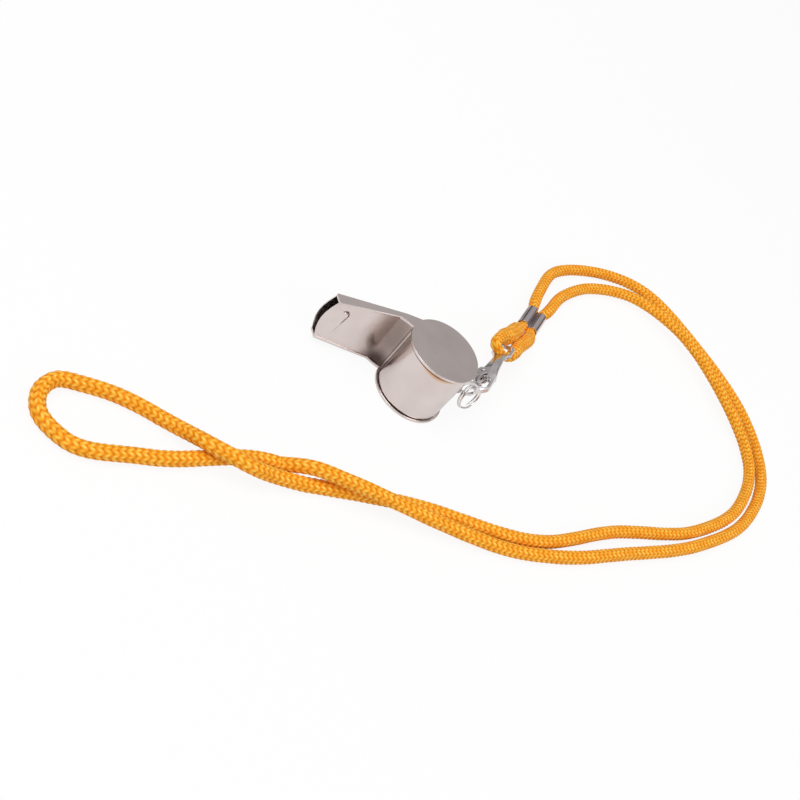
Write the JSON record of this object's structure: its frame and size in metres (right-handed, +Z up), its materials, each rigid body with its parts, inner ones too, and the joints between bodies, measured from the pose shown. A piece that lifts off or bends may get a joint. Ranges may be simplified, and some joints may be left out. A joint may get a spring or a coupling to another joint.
{
  "type": "pea whistle",
  "caption": "Metal pea whistle lying on a side plate, with a split ring, a snap clip and a knitted neck cord crimped in a ferrule.",
  "frame": {"origin": "on the table under the axis of the whistle's round barrel", "axes": "+Z up along the barrel's axis, -X along the mouthpiece, +X to the ring lug, +Y to the window's side"},
  "size_m": [0.2652, 0.1653, 0.0205],
  "materials": {
    "plated_steel": "nickel-plated, satin to bright",
    "clip_metal": "plated casting",
    "cork": "cork ball",
    "cord": "orange knitted cord"
  },
  "bodies": {
    "lanyard": {"lanyard_cord": "cord", "eye_loop_cord": "cord", "ferrule": "plated_steel", "clip_body": "clip_metal", "clip_pin": "plated_steel", "clip_spring": "plated_steel"},
    "gate": {"clip_gate": "clip_metal"},
    "ring": {"split_ring": "plated_steel"},
    "whistle": {"side_plate_lower": "plated_steel", "side_plate_upper": "plated_steel", "barrel_band": "plated_steel", "mouthpiece_top_plate": "plated_steel", "mouthpiece_underside_plate": "plated_steel", "ring_lug": "plated_steel"},
    "pea": {"pea": "cork"}
  },
  "joints": [
    {"name": "gate_hinge", "type": "hinge", "parent": "lanyard", "child": "gate", "pos_m": [0.02193, 0.00904, 0.00933], "axis": [-0.443, 0.2319, 0.866], "range_deg": [0, 22], "stiffness_Nm_per_rad": 0.004, "deforming": ["clip_spring"]},
    {"name": "ring_swing", "type": "hinge", "parent": "lanyard", "child": "ring", "pos_m": [0.02013, 0.00318, 0.00998], "axis": [0, 0, 1], "range_deg": [-25, 6]},
    {"name": "whistle_swing", "type": "hinge", "parent": "ring", "child": "whistle", "pos_m": [0.0154, 0, 0.01025], "axis": [0, 0, 1], "range_deg": [-30, 4]},
    {"name": "pea_roll", "type": "hinge", "parent": "whistle", "child": "pea", "pos_m": [0, 0, 0], "axis": [0, 0, 1], "continuous": true}
  ]
}
